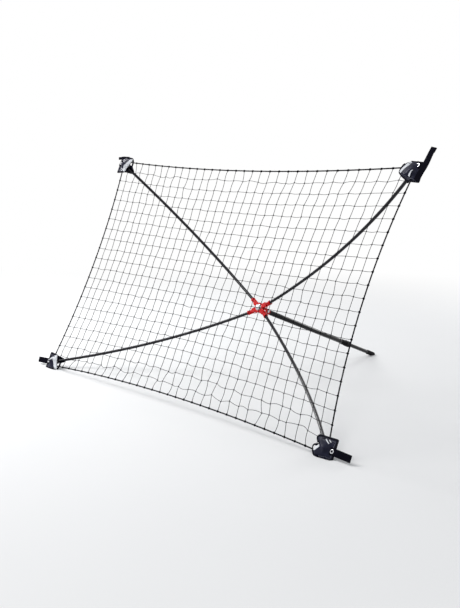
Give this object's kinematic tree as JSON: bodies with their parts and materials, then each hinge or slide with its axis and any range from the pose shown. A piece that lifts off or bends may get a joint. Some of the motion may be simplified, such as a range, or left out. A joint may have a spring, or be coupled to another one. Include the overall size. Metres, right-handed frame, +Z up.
{
  "type": "pitch back rebounder",
  "caption": "Free-standing ball rebounder: a knotted net stretched between four bent poles that plug into a folding red hub, propped by a telescopic rear leg.",
  "frame": {"origin": "centre of the bounding box, on the ground", "axes": "+X to the right across the net as its player sees it, +Y away from the player towards the leg, +Z up"},
  "size_m": [1.7206, 1.2882, 0.9504],
  "materials": {
    "red_moulding": "glossy red moulded plastic",
    "red_plate": "glossy red moulded plastic",
    "dark_red_moulding": "glossy dark red moulded plastic",
    "zinc_steel": "zinc-plated steel",
    "dome_metal": "polished plated steel",
    "pole_lacquer": "glossy near-black fibreglass rod with a blue cast",
    "black_plastic": "satin black moulded plastic",
    "pale_plastic": "natural nylon",
    "pocket_fabric": "coated navy-black woven fabric, stitched",
    "webbing": "black woven webbing",
    "eyelet_metal": "nickel-plated eyelet",
    "net_twine": "black knotted twine",
    "border_rope": "black twisted rope",
    "leg_lacquer": "glossy black paint on steel tube",
    "foot_rubber": "black rubber"
  },
  "bodies": {
    "hub": {"hub_body": "red_moulding", "hub_front_plate": "red_plate", "centre_bolt": "zinc_steel", "centre_washer": "zinc_steel", "dome_nut": "dome_metal", "pole_hinge_pins": "zinc_steel", "leg_bracket": "dark_red_moulding", "leg_pivot_bolt": "zinc_steel", "leg_pivot_nut": "zinc_steel", "net": "net_twine", "rope_top": "border_rope", "rope_bottom": "border_rope", "rope_left": "border_rope", "rope_right": "border_rope"},
    "arm_top_right": {"socket_top_right": "red_moulding", "pole_top_right": "pole_lacquer", "tip_cap_top_right": "black_plastic", "pocket_top_right": "pocket_fabric", "pull_tab_top_right": "webbing", "eyelet_top_right": "eyelet_metal"},
    "arm_top_left": {"socket_top_left": "red_moulding", "pole_top_left": "pole_lacquer", "tip_cap_top_left": "black_plastic", "pocket_top_left": "pocket_fabric", "pull_tab_top_left": "webbing", "eyelet_top_left": "eyelet_metal"},
    "arm_bottom_left": {"socket_bottom_left": "red_moulding", "pole_bottom_left": "pole_lacquer", "tip_cap_bottom_left": "black_plastic", "pocket_bottom_left": "pocket_fabric", "pull_tab_bottom_left": "webbing", "eyelet_bottom_left": "eyelet_metal"},
    "arm_bottom_right": {"socket_bottom_right": "red_moulding", "pole_bottom_right": "pole_lacquer", "tip_cap_bottom_right": "black_plastic", "pocket_bottom_right": "pocket_fabric", "pull_tab_bottom_right": "webbing", "eyelet_bottom_right": "eyelet_metal"},
    "leg_upper": {"leg_top_plug": "dark_red_moulding", "leg_outer_tube": "leg_lacquer", "leg_lock_body": "black_plastic", "leg_lock_bush": "pale_plastic"},
    "leg_collar": {"leg_twist_collar": "black_plastic"},
    "leg_lower": {"leg_inner_tube": "leg_lacquer", "leg_inner_guide": "pale_plastic", "leg_foot": "foot_rubber"}
  },
  "joints": [
    {"name": "fold_top_right", "type": "hinge", "parent": "hub", "child": "arm_top_right", "pos_m": [0.0239, -0.13399, 0.3213], "axis": [-0.5209, 0.3608, 0.7736], "range_deg": [0, 95], "deforming": ["net", "rope_top", "rope_right"]},
    {"name": "fold_top_left", "type": "hinge", "parent": "hub", "child": "arm_top_left", "pos_m": [-0.0239, -0.13399, 0.3213], "axis": [-0.5209, -0.3608, -0.7736], "range_deg": [0, 95], "deforming": ["net", "rope_top", "rope_left"]},
    {"name": "fold_bottom_left", "type": "hinge", "parent": "hub", "child": "arm_bottom_left", "pos_m": [-0.0239, -0.14632, 0.29486], "axis": [0.5209, -0.3608, -0.7736], "range_deg": [0, 95], "deforming": ["net", "rope_bottom", "rope_left"]},
    {"name": "fold_bottom_right", "type": "hinge", "parent": "hub", "child": "arm_bottom_right", "pos_m": [0.0239, -0.14632, 0.29486], "axis": [0.5209, 0.3608, 0.7736], "range_deg": [0, 95], "deforming": ["net", "rope_bottom", "rope_right"]},
    {"name": "leg_fold", "type": "hinge", "parent": "hub", "child": "leg_upper", "pos_m": [0, -0.10934, 0.29371], "axis": [-1, 0, 0], "range_deg": [0, 90]},
    {"name": "collar_twist", "type": "hinge", "parent": "leg_upper", "child": "leg_collar", "pos_m": [0, 0.44427, 0.07842], "axis": [0, 0.932, -0.3624], "range_deg": [0, 90]},
    {"name": "leg_slide", "type": "slide", "parent": "leg_upper", "child": "leg_lower", "axis": [0, 0.932, -0.3624], "range_m": [-0.142, 0.2]}
  ]
}
